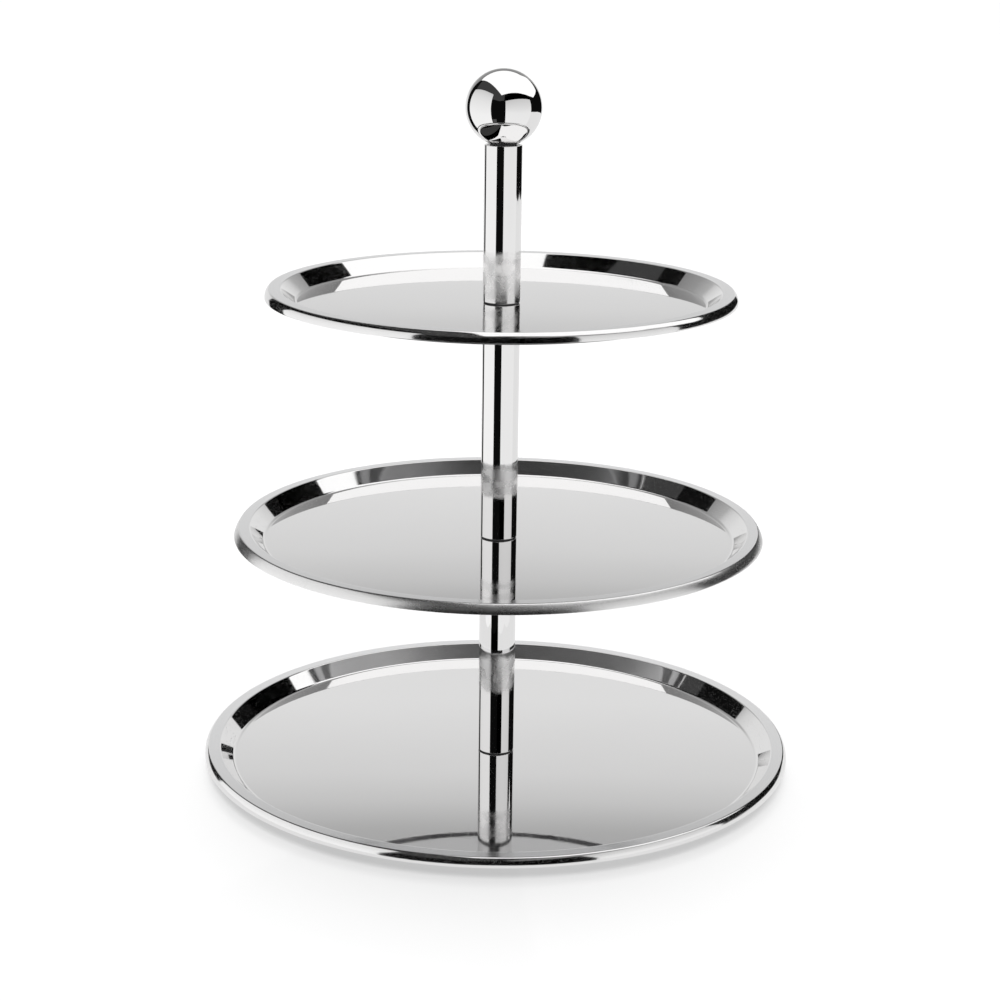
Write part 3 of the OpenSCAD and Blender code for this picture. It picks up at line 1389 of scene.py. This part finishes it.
@dataclass
class Studio:
    """The floor, room light, cards and camera.

    Args:
        ball: the knob's ball, which some cards are for.
        trays: the trays, which others are for.
        lens: focal length in millimetres.
        eye: the camera's place.
        pitch: how far it looks down, in degrees.
        roll: its roll, in degrees.
        room: brightness of the room on the floor.
        dark: brightness of the room in the steel.
        paper: how much of it the floor returns.
        lit: the floor's own glow, which keeps the shadow light.
        ceiling: height of the cards overhead.
        overhead: their brightness.
        white: brightness of the floor's cards.
    """

    ball: bpy.types.Object
    trays: Sequence[bpy.types.Object]
    lens: float = 77.30
    eye: tuple[float, float, float] = (0.0006, -1.1293, 0.4701)
    pitch: float = 15.71
    roll: float = 0.74
    room: float = 1.27
    dark: float = 0.004
    paper: float = 0.26
    lit: float = 0.44
    ceiling: float = 1.16
    overhead: float = 1.18
    white: float = 0.86

    def floor(self) -> bpy.types.Object:
        """Lays the pale floor, which the steel sees as a glowing card of its own.

        Returns:
            The floor.
        """
        s = Sheet("pale_floor")
        paper = s.surface(0.0)
        paper.inputs["Base Color"].default_value = (self.paper, self.paper, self.paper, 1)
        paper.inputs["Emission Color"].default_value = (1, 1, 1, 1)
        paper.inputs["Emission Strength"].default_value = self.lit
        paper.inputs["Roughness"].default_value = 0.95
        far = 60.0
        mesh = bpy.data.meshes.new("floor")
        mesh.from_pydata([(-far, -far, 0), (far, -far, 0), (far, far, 0), (-far, far, 0)], [],
                         [(0, 1, 2, 3)])
        mesh.materials.append(s.material)
        obj = link(bpy.data.objects.new("floor", mesh))
        obj.visible_glossy = False
        return obj

    def cards(self) -> None:
        """Hangs the cards that the steel mirrors."""
        Panel("left_window", upright((-0.63, -0.78), (-1.53, 1.0), (-1.2, -1.2), (0.9, 0.9)),
              ((-1.2, 1.07), (0.1, 1.02), (0.6, 0.9), (0.9, 0.8))).make()
        Panel("left_window_top", upright((-0.63, -0.78), (-1.53, 1.0), (0.9, 0.9), (1.2, 1.2)),
              ((0.9, 0.8), (1.2, 0.66)), (self.ball,)).make()
        glow = ((-1.4, 0.98), (0.1, 0.93), (0.5, 0.79), (1.05, 0.63))
        near, middle, far = (0.14, -1.6), (0.701, -1.001), (1.61, -0.03)
        Panel("right_window_inner", upright(near, middle, (-1.4, -1.4), (1.07, 0.99)), glow,
              without=self.trays).make()
        Panel("right_window", upright(middle, far, (-1.4, -1.4), (0.99, 0.86)), glow).make()
        Panel("right_window_top", upright(near, far, (1.07, 0.86), (1.5, 1.35)),
              ((0.14, 0.12), (0.6, 0.25), (1.61, 0.40)), self.trays, "X").make()
        h = self.ceiling
        every = ((-0.144, -0.924), (0.376, -0.66), (1.05, -0.35), (1.76, 0.08),
                 (2.47, 0.75), (2.1, 1.0), (0.74, 0.62), (0.36, 1.05),
                 (-0.42, 1.0), (-0.40, 0.70), (-0.32, 0.35), (-0.20, -0.05))
        left = ((-0.144, -0.924), (-0.20, -0.05), (-0.32, 0.35), (-0.40, 0.70),
                (-0.42, 1.0), (-0.45, 1.11), (-0.76, 0.92))
        back = ((-0.42, 1.0), (0.36, 1.05), (0.74, 0.62), (2.1, 1.0), (2.47, 0.75),
                (1.8, 2.16), (0.05, 1.40), (-0.45, 1.11))
        front = ((0.05, -0.826), (0.376, -0.66), (1.05, -0.35), (1.3, -0.2),
                 (1.35, -0.45), (0.98, -0.62), (0.5, -0.86))
        spill = ((-2.6, -0.6), (-1.30, -1.0), (-0.5, -1.9), (0.02, -1.75), (0.05, -0.80),
                 (-0.1, -0.2), (-0.35, 0.05), (-0.7, 0.7), (-2.6, 1.0))
        Panel("ceiling_spill", level(spill, h + 0.03), ((h + 0.03, 0.05),)).make()
        for name, outline, only in (("overhead", every, ()),
                                    ("overhead_left", left, (self.ball,)),
                                    ("overhead_back", back, (self.ball,)),
                                    ("overhead_front", front, self.trays)):
            Panel(name, level(outline, h), ((h, self.overhead),), only).make()
        Panel("backdrop", upright((-0.75, 1.0), (0.45, 1.0), (-1.0, -1.0), (1.3, 1.3)),
              ((-1.0, 0.84), (0.34, 0.82), (0.40, 0.77), (0.46, 0.72), (0.51, 0.62), (0.56, 0.46),
               (0.75, 0.33), (1.3, 0.18))).make()
        low = 0.0005
        paper = ((0.05, 0.0), (0.25, -0.03), (1.61, -0.03), (2.4, -0.04), (2.1, 1.2),
                 (1.2, 2.1), (0.4, 2.35), (-1.0, 1.5), (-0.27, 0.405), (-0.42, 0.2),
                 (-0.43, 0.0), (-0.05, 0.0))
        left_paper = ((-0.43, 0.0), (-0.25, -0.05), (-0.18, -0.18), (-0.154, -0.19), (0.0, 0.0))
        front_paper = ((0.0, 0.0), (-0.154, -0.19), (0.0, -0.25), (0.021, -0.242))
        right_paper = ((0.0, 0.0), (0.021, -0.242), (0.18, -0.18), (0.25, -0.05),
                       (0.25, -0.03), (0.05, 0.0))
        small = ((-0.25, -0.34), (-0.17, -0.38), (-0.26, -0.60), (-0.38, -0.54))
        white = self.white
        for name, outline, shine, only in (("floor_card", paper, white, ()),
                                           ("floor_card_left", left_paper, white, ()),
                                           ("floor_card_front", front_paper, white, self.trays),
                                           ("floor_card_right", right_paper, white, ()),
                                           ("small_card", small, 0.08, (self.ball,))):
            Panel(name, level(outline, low), ((low, shine),), only).make()

    def floor_lights(self, floor: bpy.types.Object) -> None:
        """Adds two soft lights on the floor, each of which some of the trays shade.

        Args:
            floor: the floor.
        """
        for name, energy, size, tilt, trays in (
                ("front_light", 3.6, 16, 48, self.trays[:1]),
                ("back_light", 1.4, 46, -30, self.trays[:2])):
            data = bpy.data.lights.new(name, "SUN")
            data.energy = energy
            data.angle = math.radians(size)
            obj = link(bpy.data.objects.new(name, data))
            obj.rotation_euler = (math.radians(tilt), 0.0, 0.0)
            obj.visible_glossy = False
            for key, pieces in (("receiver_collection", (floor,)),
                                ("blocker_collection", trays)):
                group = bpy.data.collections.new(f"{name}_{key}")
                for piece in pieces:
                    group.objects.link(piece)
                setattr(obj.light_linking, key, group)

    def sky(self) -> None:
        """Sets the room: white to the eye, dark in the steel, soft on the floor."""
        world = bpy.data.worlds.new("room")
        bpy.context.scene.world = world
        world.use_nodes = True
        tree = world.node_tree
        tree.nodes.clear()
        out = tree.nodes.new("ShaderNodeOutputWorld")
        back = tree.nodes.new("ShaderNodeBackground")
        path = tree.nodes.new("ShaderNodeLightPath")
        mix = tree.nodes.new("ShaderNodeMath")
        mix.operation = "MULTIPLY_ADD"
        tree.links.new(path.outputs["Is Glossy Ray"], mix.inputs[0])
        mix.inputs[1].default_value = self.dark - self.room
        mix.inputs[2].default_value = self.room
        tree.links.new(mix.outputs[0], back.inputs["Strength"])
        back.inputs["Color"].default_value = (1, 1, 1, 1)
        tree.links.new(back.outputs[0], out.inputs["Surface"])

    def camera(self) -> None:
        """Places the camera."""
        data = bpy.data.cameras.new("camera")
        data.lens = self.lens
        data.sensor_width = 36.0
        obj = link(bpy.data.objects.new("camera", data))
        tilt = Matrix.Rotation(math.radians(90 - self.pitch), 4, "X")
        lean = Matrix.Rotation(math.radians(self.roll), 4, "Z")
        obj.matrix_world = Matrix.Translation(self.eye) @ tilt @ lean
        bpy.context.scene.camera = obj

    def make(self) -> None:
        """Builds the whole studio."""
        scene = bpy.context.scene
        scene.view_settings.view_transform = "Standard"
        scene.view_settings.look = "None"
        self.floor_lights(self.floor())
        self.cards()
        self.sky()
        self.camera()


def main() -> None:
    """Loads the frame, dresses every part and sets the studio."""
    logging.basicConfig(level=logging.INFO, format="%(message)s")
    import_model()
    finishes = Finishes()
    trays = [TrayTier(finishes, node, body, roll=roll).make()
             for node, body, roll in (("bottom_tray", "base", ROUND_EDGE),
                                      ("middle_tray", "middle_tier", FLAT_EDGE),
                                      ("top_tray", "top_tier", ROUND_EDGE))]
    for level, stud in (("lower", "middle_stud"), ("middle", "top_stud"), ("upper", None)):
        Tier(finishes, level, stud=stud).make()
    ball = Knob(finishes).make()
    BaseFixings(finishes).make()
    Studio(ball, trays).make()


if __name__ == "__main__":
    main()
